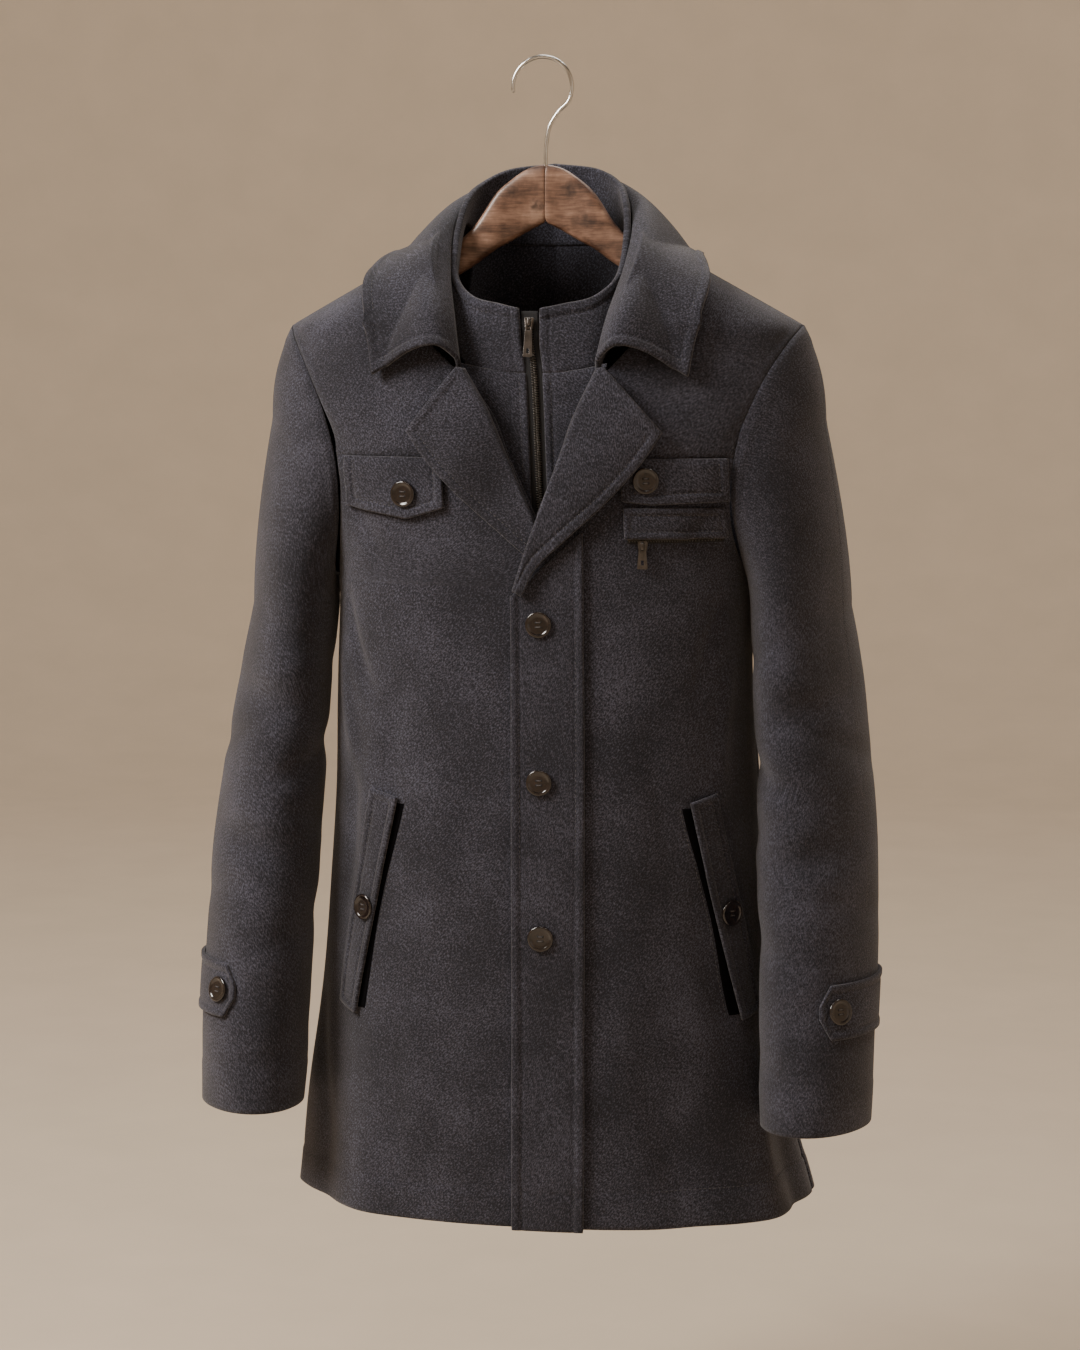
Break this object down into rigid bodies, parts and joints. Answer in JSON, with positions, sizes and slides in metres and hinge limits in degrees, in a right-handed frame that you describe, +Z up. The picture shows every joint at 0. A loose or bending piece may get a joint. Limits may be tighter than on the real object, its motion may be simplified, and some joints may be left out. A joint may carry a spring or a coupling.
{
  "type": "wool overcoat on a hanger",
  "caption": "Charcoal wool overcoat with a zipped stand-collar insert and buttoned pockets, hung on a wooden hanger with a wire hook.",
  "frame": {"origin": "inside top of the hook, where it rests on a rail", "axes": "+X to the wearer's left, -Y to the front of the coat, +Z up"},
  "size_m": [0.6156, 0.253, 1.0217],
  "materials": {
    "wool_cloth": "matt napped twill",
    "zip_tape_cloth": "matt woven tape",
    "bronze_metal": "dark satin bronze",
    "dark_horn": "polished",
    "brown_wood": "varnished",
    "steel_wire": "polished"
  },
  "bodies": {
    "coat": {"front_yoke_right": "wool_cloth", "front_right": "wool_cloth", "front_yoke_left": "wool_cloth", "front_left": "wool_cloth", "back": "wool_cloth", "sleeve_right": "wool_cloth", "sleeve_left": "wool_cloth", "placket": "wool_cloth", "lapel_left": "wool_cloth", "lapel_right": "wool_cloth", "collar": "wool_cloth", "insert_stand": "wool_cloth", "bib_right": "wool_cloth", "bib_left": "wool_cloth", "chest_flap_right": "wool_cloth", "chest_flap_left": "wool_cloth", "chest_welt": "wool_cloth", "hip_welt_right": "wool_cloth", "hip_welt_left": "wool_cloth", "cuff_tab_right": "wool_cloth", "cuff_tab_left": "wool_cloth", "zip_tape": "zip_tape_cloth", "zip_chain": "bronze_metal", "zip_slider": "bronze_metal", "chest_zip_slider": "bronze_metal", "button_front_upper": "dark_horn", "button_front_middle": "dark_horn", "button_front_lower": "dark_horn", "button_chest_right": "dark_horn", "button_chest_left": "dark_horn", "button_hip_right": "dark_horn", "button_hip_left": "dark_horn", "button_cuff_right": "dark_horn", "button_cuff_left": "dark_horn", "hanger_right": "brown_wood", "hanger_left": "brown_wood", "hook": "steel_wire"},
    "zip_pull": {"zip_pull": "bronze_metal"},
    "chest_zip_pull": {"chest_zip_pull": "bronze_metal"}
  },
  "joints": [
    {"name": "zip_pull_swing", "type": "hinge", "parent": "coat", "child": "zip_pull", "pos_m": [-0.00132, -0.0856, -0.22735], "axis": [-1, 0, 0], "range_deg": [0, 140]},
    {"name": "chest_zip_pull_swing", "type": "hinge", "parent": "coat", "child": "chest_zip_pull", "pos_m": [0.10023, -0.10735, -0.41693], "axis": [-1, 0, 0], "range_deg": [0, 140]}
  ]
}
